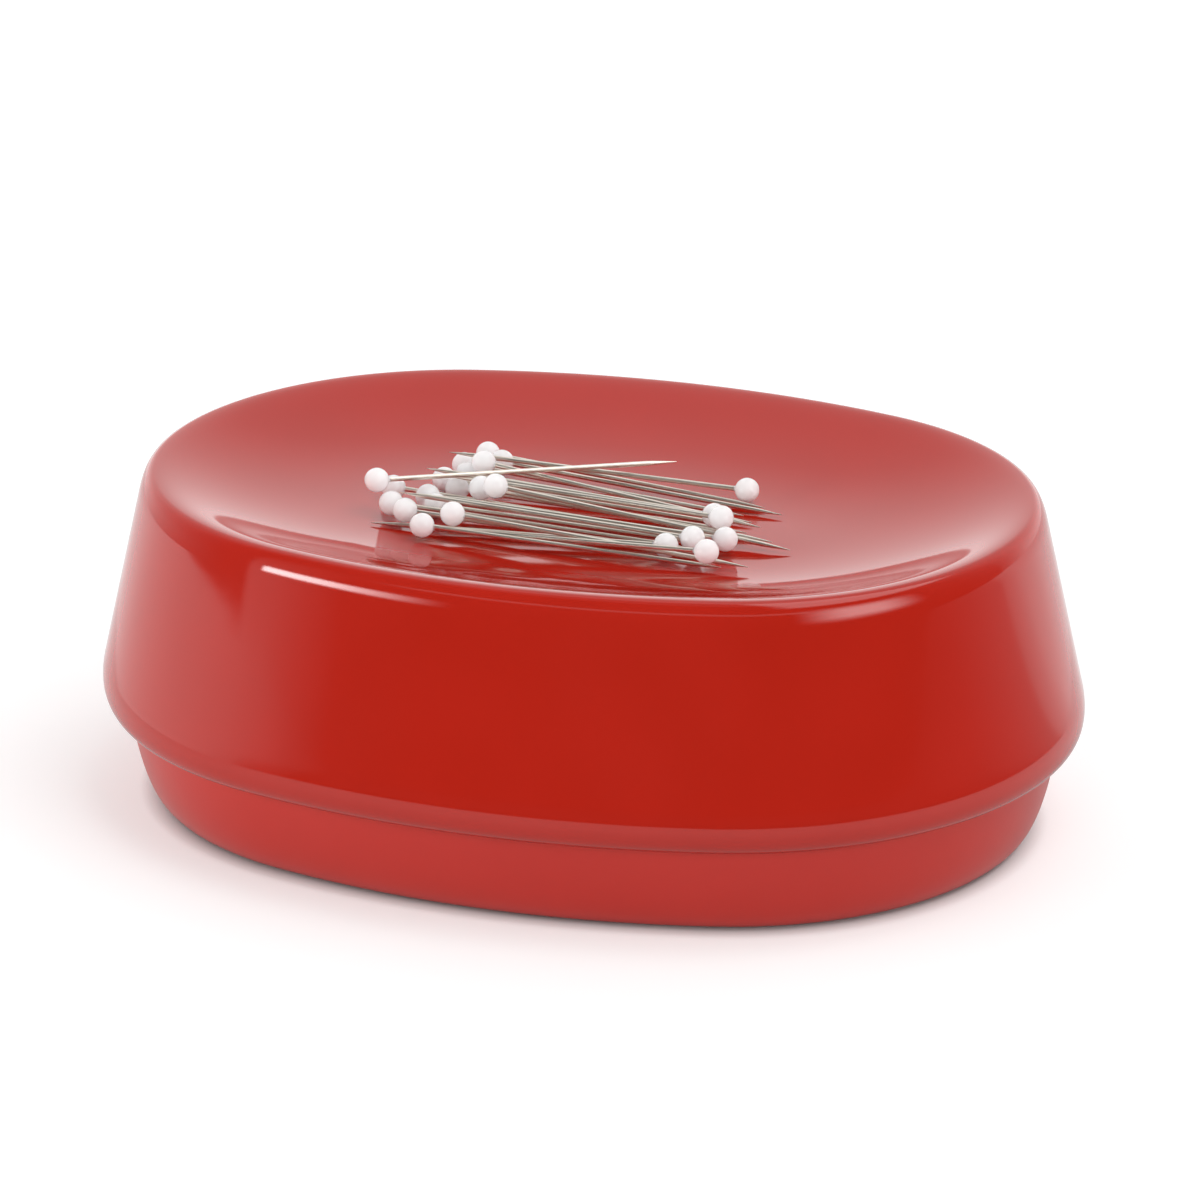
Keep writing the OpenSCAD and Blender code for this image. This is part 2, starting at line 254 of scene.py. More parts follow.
# Azimuth of (x, y) in degrees
def azimuthOf(tree, x, y):
    angle = addNode(tree, "ShaderNodeMath", {"operation": "ARCTAN2"}, {0: y, 1: x})
    return addNode(tree, "ShaderNodeMath", {"operation": "DEGREES"}, {0: angle.outputs[0]}).outputs[0]


# 1 inside a range, falling smoothly to 0 over a fade outside each end
def insideRange(tree, value, ends, fades):
    low, high = float(ends[0]), float(ends[1])
    rise = addNode(
        tree, "ShaderNodeMapRange",
        {"interpolation_type": "SMOOTHSTEP", "From Min": low - fades[0], "From Max": low}, {"Value": value},
    )
    fall = addNode(
        tree, "ShaderNodeMapRange",
        {"interpolation_type": "SMOOTHSTEP", "From Min": high + fades[1], "From Max": high}, {"Value": value},
    )
    return addNode(
        tree, "ShaderNodeMath", {"operation": "MULTIPLY"}, {0: rise.outputs[0], 1: fall.outputs[0]}
    ).outputs[0]


def addSurroundings(settings, boxes):
    world = bpy.data.worlds.new("studio")
    bpy.context.scene.world = world
    world.use_nodes = True
    tree = world.node_tree
    direction = addNode(tree, "ShaderNodeTexCoord").outputs["Generated"]
    axes = addNode(tree, "ShaderNodeSeparateXYZ", None, {0: direction})
    x, y, z = axes.outputs
    azimuth = azimuthOf(tree, x, y)
    rise = addNode(tree, "ShaderNodeMath", {"operation": "ARCSINE"}, {0: z})
    elevation = addNode(tree, "ShaderNodeMath", {"operation": "DEGREES"}, {0: rise.outputs[0]}).outputs[0]
    low = rampAlong(tree, azimuth, settings["low"], settings["brightest"])
    high = rampAlong(tree, azimuth, settings["high"], settings["brightest"])
    share = addNode(
        tree, "ShaderNodeMapRange",
        {"From Min": float(settings["lowTop"]), "From Max": float(settings["highFoot"])},
        {"Value": elevation},
    )
    level = addNode(
        tree, "ShaderNodeMix", {"data_type": "FLOAT"}, {0: share.outputs[0], 2: low, 3: high}
    ).outputs[0]
    for box in boxes.values():
        across = insideRange(tree, azimuth, box["azimuth"], box["azimuthFade"])
        upright = insideRange(tree, elevation, box["elevation"], box["elevationFade"])
        patch = addNode(tree, "ShaderNodeMath", {"operation": "MULTIPLY"}, {0: across, 1: upright})
        level = addNode(
            tree, "ShaderNodeMath", {"operation": "MULTIPLY_ADD", 1: float(box["level"])},
            {0: patch.outputs[0], 2: level},
        ).outputs[0]
    ray = addNode(tree, "ShaderNodeLightPath")
    seen = addNode(
        tree, "ShaderNodeMix", {"data_type": "FLOAT", 3: 1.0}, {0: ray.outputs["Is Camera Ray"], 2: level}
    )
    tree.links.new(seen.outputs[0], tree.nodes["Background"].inputs["Strength"])
    tree.nodes["Background"].inputs["Color"].default_value = (1, 1, 1, 1)


# A disc lamp aimed at the bowl, whose power grows with its distance so that the light on the bowl is the
# level times pi wherever the lamp stands
def addLamp(name, place, size, level):
    data = bpy.data.lights.new(name, "AREA")
    data.shape = "DISK"
    data.size = size
    distance = Vector(place).length
    data.energy = level * math.pi ** 2 * (distance ** 2 + (size / 2) ** 2)
    lamp = bpy.data.objects.new(name, data)
    lamp.location = place
    lamp.rotation_mode = "QUATERNION"
    lamp.rotation_quaternion = Vector(place).to_track_quat("Z", "Y")
    lamp.visible_glossy = False
    bpy.context.scene.collection.objects.link(lamp)


# Distance in mm from the bowl's widest line, outwards positive: the length to the side arc's far centre less
# sideRadius within that arc's sector, and elsewhere the length to the end arc's centre less endRadius
def distanceFromOval(tree, x, y):
    arcs = ovalArcs(bowl)
    absX = addNode(tree, "ShaderNodeMath", {"operation": "ABSOLUTE"}, {0: x}).outputs[0]
    absY = addNode(tree, "ShaderNodeMath", {"operation": "ABSOLUTE"}, {0: y}).outputs[0]
    fromSide = addNode(
        tree, "ShaderNodeMath", {"operation": "ADD", 1: arcs["sideCentre"] * mm}, {0: absY}
    ).outputs[0]
    fromEnd = addNode(
        tree, "ShaderNodeMath", {"operation": "SUBTRACT", 1: arcs["endCentre"] * mm}, {0: absX}
    ).outputs[0]
    reaches = []
    for across, along, radius in (
        (absX, fromSide, arcs["sideRadius"]), (fromEnd, absY, bowl["endRadius"])
    ):
        arm = addNode(tree, "ShaderNodeCombineXYZ", None, {0: across, 1: along})
        length = addNode(tree, "ShaderNodeVectorMath", {"operation": "LENGTH"}, {0: arm.outputs[0]})
        reaches.append(addNode(
            tree, "ShaderNodeMath", {"operation": "MULTIPLY_ADD", 1: 1 / mm, 2: -float(radius)},
            {0: length.outputs["Value"]},
        ).outputs[0])
    slope = addNode(tree, "ShaderNodeMath", {"operation": "DIVIDE"}, {0: absX, 1: fromSide})
    onEnd = addNode(
        tree, "ShaderNodeMath", {"operation": "GREATER_THAN", 1: math.tan(arcs["sideHalfAngle"])},
        {0: slope.outputs[0]},
    )
    return addNode(
        tree, "ShaderNodeMix", {"data_type": "FLOAT"}, {0: onEnd.outputs[0], 2: reaches[0], 3: reaches[1]}
    ).outputs[0]


# The floor is lit matt white with a little more to the camera. A reflection sees instead a glow set by
# azimuth for the studio's own paper and what lies beyond its edge, dimmed close to the bowl as a painted
# shadow
def addFloor(settings, around):
    half = settings["size"] / 2
    mesh = bpy.data.meshes.new("floor")
    corners = [(-half, -half, 0), (half, -half, 0), (half, half, 0), (-half, half, 0)]
    mesh.from_pydata(corners, [], [(0, 1, 2, 3)])
    floor = bpy.data.objects.new("floor", mesh)
    bpy.context.scene.collection.objects.link(floor)
    material = bpy.data.materials.new("mattWhitePaper")
    material.use_nodes = True
    tree = material.node_tree
    tree.nodes.clear()
    place = addNode(tree, "ShaderNodeTexCoord").outputs["Object"]
    axes = addNode(tree, "ShaderNodeSeparateXYZ", None, {0: place})
    azimuth = azimuthOf(tree, axes.outputs[0], axes.outputs[1])
    paperLevel = rampAlong(tree, azimuth, around["paper"], around["brightest"])
    far = rampAlong(tree, azimuth, around["low"], around["brightest"])
    side = math.radians(around["paperSide"])
    sideways = addNode(
        tree, "ShaderNodeVectorMath",
        {"operation": "DOT_PRODUCT", 1: (math.cos(side), math.sin(side), 0)}, {0: place},
    )
    away = distanceFromOval(tree, axes.outputs[0], axes.outputs[1])
    # Painted shadow: the floor's image in reflections darkens towards the bowl's foot, by distance from its
    # widest line
    paintedShadowNear = rampAlong(tree, away, around["paintedShadowNear"], around["brightest"])
    spread = addNode(
        tree, "ShaderNodeMapRange",
        {
            "interpolation_type": "SMOOTHSTEP",
            "From Min": float(around["paintedShadowEnds"][0]),
            "From Max": float(around["paintedShadowEnds"][1]),
        },
        {"Value": away},
    )
    beyond = addNode(
        tree, "ShaderNodeMapRange",
        {
            "interpolation_type": "SMOOTHSTEP",
            "From Min": around["paperReach"],
            "From Max": around["paperReach"] + around["paperFade"],
        },
        {"Value": sideways.outputs["Value"]},
    )
    sheet = addNode(
        tree, "ShaderNodeMix", {"data_type": "FLOAT"}, {0: beyond.outputs[0], 2: paperLevel, 3: far}
    )
    mirrored = addNode(
        tree, "ShaderNodeMix", {"data_type": "FLOAT"}, {0: spread.outputs[0], 2: paintedShadowNear, 3: sheet.outputs[0]}
    )
    ray = addNode(tree, "ShaderNodeLightPath")
    direct = addNode(
        tree, "ShaderNodeMath", {"operation": "ADD"},
        {0: ray.outputs["Is Camera Ray"], 1: ray.outputs["Is Transmission Ray"]},
    )
    # Painted shade: the camera glow fades out towards the bowl's outline, darkening the floor round and under
    # it by place
    clear = addNode(
        tree, "ShaderNodeMapRange",
        {
            "From Min": settings["paintedContactShadeFade"][0],
            "From Max": settings["paintedContactShadeFade"][1],
            "To Max": settings["topUp"],
        },
        {"Value": away},
    )
    extra = addNode(
        tree, "ShaderNodeMath", {"operation": "MULTIPLY"}, {0: direct.outputs[0], 1: clear.outputs[0]}
    )
    paper = addNode(tree, "ShaderNodeBsdfDiffuse", {"Color": linear(settings["white"])})
    glow = addNode(tree, "ShaderNodeEmission", None, {"Strength": extra.outputs[0]})
    lit = addNode(tree, "ShaderNodeAddShader", None, {0: paper.outputs[0], 1: glow.outputs[0]})
    image = addNode(tree, "ShaderNodeEmission", None, {"Strength": mirrored.outputs[0]})
    either = addNode(
        tree, "ShaderNodeMixShader", None,
        {0: ray.outputs["Is Glossy Ray"], 1: lit.outputs[0], 2: image.outputs[0]},
    )
    addNode(tree, "ShaderNodeOutputMaterial", None, {"Surface": either.outputs[0]})
    mesh.materials.append(material)


addSurroundings(studio, softBoxes)
for lampName, lamp in lamps.items():
    addLamp(lampName, **lamp)
addFloor(floorLook, studio)
print("studio lit")


noiseRange = (0.3, 0.7)  # part of a noise pattern's values that a roughness is spread over

# ABS moulded in a polished tool: deep red under a clear, sharp reflection,
# which the faint flow and sink of the wall bend a little
glossFinish = {
    "red": "#B52316",
    "redDeep": "#B02113",
    "roughness": (0.035, 0.07),
    "ior": 1.5,
    "flowSpacing": 9,  # mm between the slow waves of the surface
    "flowHeight": 0.012,
    "sinkSpacing": 4.5,  # mm between the sink marks in the dish's front wall
    "sinkHeight": 0.05,
    "sinkPlace": (3, -24, 36),
    "sinkReach": (17, 6, 8),  # mm either way along X, Y and Z
    "sinkFade": (0.4, 1.0),  # shares of that reach between which the marks die away
    "peelSpacing": 2.2,  # mm between the ripples of the skin
    "peelHeight": 0.0004,
    "handlingSpacing": 6,  # mm between patches that hands have dulled
    "handlingRange": (0.35, 0.75),  # part of the pattern's values that the roughness is spread over
}


def makeGlossMouldedAbs(finish):
    material, tree, shader = newMaterial(
        "glossMouldedAbs", {"IOR": finish["ior"], "Base Color": linear(finish["red"])}
    )
    place = addNode(tree, "ShaderNodeTexCoord").outputs["Object"]
    flow = addNode(
        tree, "ShaderNodeTexNoise",
        {"Scale": 1 / (finish["flowSpacing"] * mm), "Detail": 0.0}, {"Vector": place},
    )
    peel = addNode(
        tree, "ShaderNodeTexNoise",
        {"Scale": 1 / (finish["peelSpacing"] * mm), "Detail": 1.0}, {"Vector": place},
    )
    waved = addNode(
        tree, "ShaderNodeBump",
        {"Strength": 1.0, "Distance": finish["flowHeight"] * mm}, {"Height": flow.outputs[0]},
    )
    # Sink marks where the dish's front wall is thickest: waves that die away from their middle
    centred = addNode(
        tree, "ShaderNodeMapping",
        {
            "vector_type": "TEXTURE",
            "Location": [c * mm for c in finish["sinkPlace"]],
            "Scale": [r * mm for r in finish["sinkReach"]],
        },
        {"Vector": place},
    )
    outwards = addNode(tree, "ShaderNodeVectorMath", {"operation": "LENGTH"}, {0: centred.outputs[0]})
    fading = addNode(
        tree, "ShaderNodeMapRange",
        {
            "interpolation_type": "SMOOTHSTEP",
            "From Min": finish["sinkFade"][0], "From Max": finish["sinkFade"][1],
            "To Min": 1.0, "To Max": 0.0,
        },
        {"Value": outwards.outputs["Value"]},
    )
    sink = addNode(
        tree, "ShaderNodeTexNoise",
        {"Scale": 1 / (finish["sinkSpacing"] * mm), "Detail": 0.0}, {"Vector": place},
    )
    marks = addNode(
        tree, "ShaderNodeMath", {"operation": "MULTIPLY"}, {0: fading.outputs[0], 1: sink.outputs[0]}
    )
    sunk = addNode(
        tree, "ShaderNodeBump", {"Strength": 1.0, "Distance": finish["sinkHeight"] * mm},
        {"Height": marks.outputs[0], "Normal": waved.outputs[0]},
    )
    peeled = addNode(
        tree, "ShaderNodeBump", {"Strength": 1.0, "Distance": finish["peelHeight"] * mm},
        {"Height": peel.outputs[0], "Normal": sunk.outputs[0]},
    )
    handled = addNode(
        tree, "ShaderNodeTexNoise",
        {"Scale": 1 / (finish["handlingSpacing"] * mm), "Detail": 6.0, "Roughness": 0.7}, {"Vector": place},
    )
    rough = addNode(
        tree, "ShaderNodeMapRange",
        {
            "From Min": finish["handlingRange"][0], "From Max": finish["handlingRange"][1],
            "To Min": finish["roughness"][0], "To Max": finish["roughness"][1],
        },
        {"Value": handled.outputs[0]},
    )
    shade = addNode(
        tree, "ShaderNodeMix",
        {"data_type": "RGBA", 6: linear(finish["red"]), 7: linear(finish["redDeep"])}, {0: flow.outputs[0]},
    )
    tree.links.new(shade.outputs[2], shader.inputs["Base Color"])
    tree.links.new(rough.outputs[0], shader.inputs["Roughness"])
    tree.links.new(peeled.outputs[0], shader.inputs["Normal"])
    return material


# The same ABS from a spark eroded tool: a fine even grain that spreads the reflection into a soft sheen.
# The real grain is about 0.05 mm, and it is drawn coarser so that it shows
satinFinish = {
    "red": "#C32B20",
    "redDeep": "#BC281D",
    "roughness": (0.26, 0.38),
    "ior": 1.5,
    "grainSpacing": 0.28,  # mm
    "grainHeight": 0.006,
    "cloudSpacing": 14,  # mm between slow changes of shade
    "cloudRange": (0.1, 0.9),  # wide, so that no contour shows where it ends
}


def makeSatinMouldedAbs(finish):
    material, tree, shader = newMaterial(
        "satinMouldedAbs", {"IOR": finish["ior"], "Base Color": linear(finish["red"])}
    )
    place = addNode(tree, "ShaderNodeTexCoord").outputs["Object"]
    grain = addNode(
        tree, "ShaderNodeTexNoise",
        {"Scale": 1 / (finish["grainSpacing"] * mm), "Detail": 2.0}, {"Vector": place},
    )
    cloud = addNode(
        tree, "ShaderNodeTexNoise",
        {"Scale": 1 / (finish["cloudSpacing"] * mm), "Detail": 3.0}, {"Vector": place},
    )
    raised = addNode(
        tree, "ShaderNodeBump", {"Strength": 1.0, "Distance": finish["grainHeight"] * mm},
        {"Height": grain.outputs[0]},
    )
    rough = addNode(
        tree, "ShaderNodeMapRange",
        {
            "From Min": finish["cloudRange"][0], "From Max": finish["cloudRange"][1],
            "To Min": finish["roughness"][0], "To Max": finish["roughness"][1],
        },
        {"Value": cloud.outputs[0]},
    )
    shade = addNode(
        tree, "ShaderNodeMix",
        {"data_type": "RGBA", 6: linear(finish["red"]), 7: linear(finish["redDeep"])}, {0: cloud.outputs[0]},
    )
    tree.links.new(shade.outputs[2], shader.inputs["Base Color"])
    tree.links.new(rough.outputs[0], shader.inputs["Roughness"])
    tree.links.new(raised.outputs[0], shader.inputs["Normal"])
    return material


# Drawn steel wire with a nickel plate: warm grey, with fine lines along the wire that break up the glints.
# The pattern reads each pin's own place along and round its wire
wireFinish = {
    "bright": "#F1EADF",
    "dull": "#DFD5C8",
    "roughness": (0.28, 0.36),
    "lineSpacing": 0.3,  # mm round the wire
    "lineLength": 12.0,  # mm along it
    "lineHeight": 0.0002,
    "lineStrength": 0.6,
}


def makeNickelPlatedWire(finish):
    material, tree, shader = newMaterial(
        "nickelPlatedWire", {"Metallic": 1.0, "Base Color": linear(finish["bright"])}
    )
    place = addNode(tree, "ShaderNodeAttribute", {"attribute_name": "alongPin"}).outputs["Vector"]
    stretched = addNode(
        tree, "ShaderNodeMapping",
        {"Scale": (1, 1, finish["lineSpacing"] / finish["lineLength"])}, {"Vector": place},
    )
    lines = addNode(
        tree, "ShaderNodeTexNoise", {"Scale": 1 / (finish["lineSpacing"] * mm), "Detail": 2.0},
        {"Vector": stretched.outputs[0]},
    )
    shade = addNode(
        tree, "ShaderNodeMix",
        {"data_type": "RGBA", 6: linear(finish["dull"]), 7: linear(finish["bright"])}, {0: lines.outputs[0]},
    )
    rough = addNode(
        tree, "ShaderNodeMapRange",
        {
            "From Min": noiseRange[0], "From Max": noiseRange[1],
            "To Min": finish["roughness"][0], "To Max": finish["roughness"][1],
        },
        {"Value": lines.outputs[0]},
    )
    raised = addNode(
        tree, "ShaderNodeBump",
        {"Strength": finish["lineStrength"], "Distance": finish["lineHeight"] * mm},
        {"Height": lines.outputs[0]},
    )
    tree.links.new(shade.outputs[2], shader.inputs["Base Color"])
    tree.links.new(rough.outputs[0], shader.inputs["Roughness"])
    tree.links.new(raised.outputs[0], shader.inputs["Normal"])
    return material


# A plain material whose shade and roughness drift over a grain, for the balls, the feet and the inner pieces:
# spacing and height are the grain's, in mm
def makeGrained(name, sockets, colours, spacing, height, roughness):
    material, tree, shader = newMaterial(name, sockets)
    place = addNode(tree, "ShaderNodeTexCoord").outputs["Object"]
    grain = addNode(
        tree, "ShaderNodeTexNoise", {"Scale": 1 / (spacing * mm), "Detail": 3.0}, {"Vector": place}
    )
    shade = addNode(
        tree, "ShaderNodeMix",
        {"data_type": "RGBA", 6: linear(colours[0]), 7: linear(colours[1])}, {0: grain.outputs[0]},
    )
    rough = addNode(
        tree, "ShaderNodeMapRange",
        {
            "From Min": noiseRange[0], "From Max": noiseRange[1],
            "To Min": roughness[0], "To Max": roughness[1],
        },
        {"Value": grain.outputs[0]},
    )
    raised = addNode(
        tree, "ShaderNodeBump", {"Strength": 1.0, "Distance": height * mm}, {"Height": grain.outputs[0]}
    )
    tree.links.new(shade.outputs[2], shader.inputs["Base Color"])
    tree.links.new(rough.outputs[0], shader.inputs["Roughness"])
    tree.links.new(raised.outputs[0], shader.inputs["Normal"])
    return material


glossRed = makeGlossMouldedAbs(glossFinish)
satinRed = makeSatinMouldedAbs(satinFinish)
wire = makeNickelPlatedWire(wireFinish)
# Polystyrene balls moulded on the wire: white and translucent, so that light spreads through a whole ball,
# with a clear gloss over a faint unevenness
ballWhite = makeGrained(
    "mouldedPolystyrene",
    {
        "IOR": 1.55,
        "Subsurface Weight": 1.0,
        "Subsurface Radius": (1, 1, 1),
        "Subsurface Scale": 4 * mm,
    },
    ("#F8FCFF", "#F5F9FD"), 0.9, 0.002, (0.12, 0.2),
)
# Nitrile rubber: matt black with a dusty grain
footRubber = makeGrained("mattRubber", {"IOR": 1.5}, ("#1B1B1C", "#262627"), 0.3, 0.02, (0.7, 0.9))
# Glass filled ABS left from the tool: black with a dull sheen
trayBlack = makeGrained("mouldedBlackAbs", {"IOR": 1.54}, ("#222224", "#2B2B2E"), 0.4, 0.01, (0.4, 0.55))
# Sintered ferrite: dark grey and granular
ferrite = makeGrained("sinteredFerrite", {"IOR": 2.0}, ("#3A3A3D", "#4A4A4E"), 0.35, 0.03, (0.55, 0.8))
# Cold rolled steel sheet: grey with a soft rolled sheen
rolledSteel = makeGrained("rolledSteel", {"Metallic": 1.0}, ("#A3A5A7", "#8E9092"), 0.5, 0.004, (0.3, 0.45))
# Open cell polyurethane foam: dull grey with visible cells
foam = makeGrained("polyurethaneFoam", {"IOR": 1.45}, ("#505256", "#36383B"), 0.6, 0.25, (0.85, 1.0))
# Zinc plated steel: bluish grey, slightly mottled
zinc = makeGrained("zincPlatedSteel", {"Metallic": 1.0}, ("#B9BCC1", "#9EA2A8"), 0.8, 0.004, (0.25, 0.4))
print("materials mixed")


# Quads between neighbouring rows and columns of a grid whose columns run right round
def gridFaces(rows, columns):
    row, column = np.meshgrid(np.arange(rows - 1), np.arange(columns), indexing="ij")
    nextColumn = (column + 1) % columns
    corners = [row * columns + column, row * columns + nextColumn,
               (row + 1) * columns + nextColumn, (row + 1) * columns + column]
    return np.stack(corners, axis=-1).reshape(-1, 4)


# Smooth shading, but for edges sharper than an angle in degrees
def shadeSmooth(mesh, sharpAngle):
    mesh.polygons.foreach_set("use_smooth", [True] * len(mesh.polygons))
    mesh.set_sharp_from_angle(angle=math.radians(sharpAngle))


hardEdge = 40  # degrees
closest = 1e-7  # m: points nearer than this are one


# Makes one mesh from copies of a ring grid, shape (copies, rows, columns, 3). Rings that shrink to a point
# merge there, and all faces are turned outwards
def addRings(name, points, sharpAngle=hardEdge, attribute=None):
    copies, rows, columns = points.shape[:3]
    faces = gridFaces(rows, columns)[None] + np.arange(copies)[:, None, None] * rows * columns
    mesh = bpy.data.meshes.new(name)
    mesh.from_pydata(points.reshape(-1, 3), [], faces.reshape(-1, 4).tolist())
    if attribute is not None:
        layer = mesh.attributes.new("alongPin", "FLOAT_VECTOR", "POINT")
        layer.data.foreach_set("vector", attribute.astype(np.float32).ravel())
    joined = bmesh.new()
    joined.from_mesh(mesh)
    bmesh.ops.remove_doubles(joined, verts=joined.verts, dist=closest)
    bmesh.ops.dissolve_degenerate(joined, edges=joined.edges, dist=closest / 10)
    bmesh.ops.recalc_face_normals(joined, faces=joined.faces)
    joined.to_mesh(mesh)
    joined.free()
    shadeSmooth(mesh, sharpAngle)
    piece = bpy.data.objects.new(name, mesh)
    bpy.context.scene.collection.objects.link(piece)
    return piece


# Rides on a body, stands for CAD nodes and takes its material
def dress(piece, material, body, nodes):
    piece.data.materials.append(material)
    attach(piece, body)
    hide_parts(*nodes)


# Quadratic curve from a to c that heads for b: (1 - t)^2 a + 2 t (1 - t) b + t^2 c
def bend(a, b, c, steps):
    t = np.linspace(0, 1, steps + 1)[:, None]
    return (1 - t) ** 2 * np.array(a) + 2 * t * (1 - t) * np.array(b) + t ** 2 * np.array(c)


# Cubic curve: (1 - t)^3 a + 3 t (1 - t)^2 b + 3 t^2 (1 - t) c + t^3 d
def ease(a, b, c, d, steps):
    t = np.linspace(0, 1, steps + 1)[:, None]
    return ((1 - t) ** 3 * np.array(a) + 3 * t * (1 - t) ** 2 * np.array(b)
            + 3 * t ** 2 * (1 - t) * np.array(c) + t ** 3 * np.array(d))


# Straight line: (1 - t) a + t b
def straight(a, b, steps):
    t = np.linspace(0, 1, steps + 1)[:, None]
    return (1 - t) * np.array(a) + t * np.array(b)


# Directions that the outline faces: even steps round each end arc and each side arc
def outlineFacing(size, sideHalfAngle):
    quarter = math.pi / 2
    ends = np.linspace(sideHalfAngle - quarter, quarter - sideHalfAngle, size["endSteps"], endpoint=False)
    sides = np.linspace(quarter - sideHalfAngle, quarter + sideHalfAngle, size["sideSteps"], endpoint=False)
    half = np.concatenate([ends, sides])
    return np.concatenate([half, half + math.pi])


# Oval set in by an inset: where the outline faces within the side half angle of +-Y the point is
# sideRadius - inset from the far side centre, and elsewhere endRadius - inset from the near end centre
def carryRoundOval(section, size, shrink):
    arcs = ovalArcs(size)
    facing = outlineFacing(size, arcs["sideHalfAngle"])
    onSide = np.abs(np.cos(facing)) < math.sin(arcs["sideHalfAngle"]) + 1e-9
    centreX = np.where(onSide, 0, np.sign(np.cos(facing)) * arcs["endCentre"])
    centreY = np.where(onSide, -np.sign(np.sin(facing)) * arcs["sideCentre"], 0)
    radius = np.where(onSide, arcs["sideRadius"], size["endRadius"])
    inset = section[:, :1]
    x = (centreX + (radius - inset) * np.cos(facing)) * shrink[:, None]
    y = (centreY + (radius - inset) * np.sin(facing)) * shrink[:, None]
    z = np.broadcast_to(section[:, 1:], x.shape)
    return np.stack([x, y, z], axis=-1) * mm


# Joins stretches of a section, leaving out each repeated end point
def joinStretches(stretches):
    return np.concatenate([stretches[0]] + [s[1:] for s in stretches[1:]])


# Rings of a level floor, all at the inset of its edge, with the share by which each shrinks to the middle
def levelFloor(inset, height, steps):
    return np.repeat([[inset, height]], steps, axis=0), np.linspace(0, 1, steps + 1)[:-1]


# Section of the top moulding: dish floor, dish, rim, skirt, turned in lip, then back up the inner face
def addTopMoulding(size):
    rimCorner = np.array([size["skirtLean"], size["height"]])
    edgeCorner = np.array([0, size["widestHeight"]])
    slope = (rimCorner - edgeCorner) / np.linalg.norm(rimCorner - edgeCorner)
    crest = np.array([size["crestInset"], size["height"]])
    floorEdge = np.array([size["floorInset"], size["height"] - size["dishDepth"]])
    lip = np.array([size["lipTurnIn"], size["lipHeight"]])
    down = np.array([0, -size["wall"]])
    across = np.array([size["skirtWall"], 0])
    fromFloor, toCrest = floorEdge - [size["floorEase"], 0], crest + [size["crestEase"], 0]
    dish = ease(floorEdge, fromFloor, toCrest, crest, size["dishSteps"])
    rim = bend(crest, rimCorner, rimCorner - size["rimRound"] * slope, size["rimSteps"])
    skirt = straight(rim[-1], edgeCorner + size["edgeRound"] * slope, size["skirtSteps"])
    edge = bend(skirt[-1], edgeCorner, lip, size["edgeSteps"])
    lipInside = [size["skirtInside"], size["lipHeight"] - size["lipStep"]]
    turn = bend(lip, lip + size["lipCorner"], lipInside, size["lipSteps"])
    innerFoot = np.array([size["skirtInside"], size["lipHeight"] + size["innerFootRise"]])
    innerRim = rimCorner - size["innerRimDrop"] * slope + across
    underDish = (dish + down)[::-1][size["underRimSteps"]:]
    inner = joinStretches([
        straight(turn[-1], innerFoot, size["innerFootSteps"]),
        straight(innerFoot, innerRim, size["innerSteps"]),
        bend(innerRim, innerRim + size["innerRimRound"] * slope, underDish[0], size["innerSteps"]),
        underDish,
    ])
    outerFloor, outerShrink = levelFloor(*floorEdge, size["floorSteps"])
    innerFloor, innerShrink = levelFloor(*underDish[-1], size["innerSteps"])
    walls = joinStretches([dish, rim, skirt, edge, turn, inner])
    section = np.concatenate([outerFloor, walls, innerFloor[::-1]])
    shrink = np.concatenate([outerShrink, np.ones(len(walls)), innerShrink[::-1]])
    return addRings("topMoulding", carryRoundOval(section, size, shrink)[None], size["hardEdge"])


topMoulding = addTopMoulding(bowl)
dress(topMoulding, glossRed, "bowl", ["top_shell"])
print("top moulding carried round the oval")


# The base under the lip, in mm
base = {
    "inset": 3.4,
    "upright": 1.6,
    "taper": 3.8,
    "underside": 0.4,
    "footRound": 0.6,
    "floor": 2.0,
    "wall": 2.2,
    "rimTop": 14.2,
    "recessRadius": 3.2,
    "recessTop": 6.0,
    "holeRadius": 1.7,
    "towerRadius": 4.6,
    "towerTop": 8.0,
    "footSeatRadius": 5.2,
    "footSeatTop": 1.4,
    "underStrip": 1.5,  # width of the underside's outermost ring
    "cutMargin": 1,  # what a tool for cutting or adding stands past the face it meets
    "wallSteps": 26,
    "stripSteps": 2,
    "floorSteps": 6,
}


# Turns a profile of [radius, height] about +Z at a place in mm: x = place + radius cos(angle), and y likewise
# with the sine
def turned(profile, place, columns=64):
    angle = np.linspace(0, 2 * math.pi, columns, endpoint=False)
    radius = np.array(profile)[:, :1]
    x = place[0] + radius * np.cos(angle)
    y = place[1] + radius * np.sin(angle)
    z = np.broadcast_to(np.array(profile)[:, 1:], x.shape)
    return np.stack([x, y, z], axis=-1) * mm


# Adds or cuts one mesh with another and leaves plain mesh data
def combine(piece, tool, operation):
    change = piece.modifiers.new("combine", "BOOLEAN")
    change.operation = operation
    change.solver = "EXACT"
    change.object = tool
    graph = bpy.context.evaluated_depsgraph_get()
    result = bpy.data.meshes.new_from_object(piece.evaluated_get(graph))
    piece.modifiers.clear()
    piece.data = result
    bpy.data.objects.remove(tool)


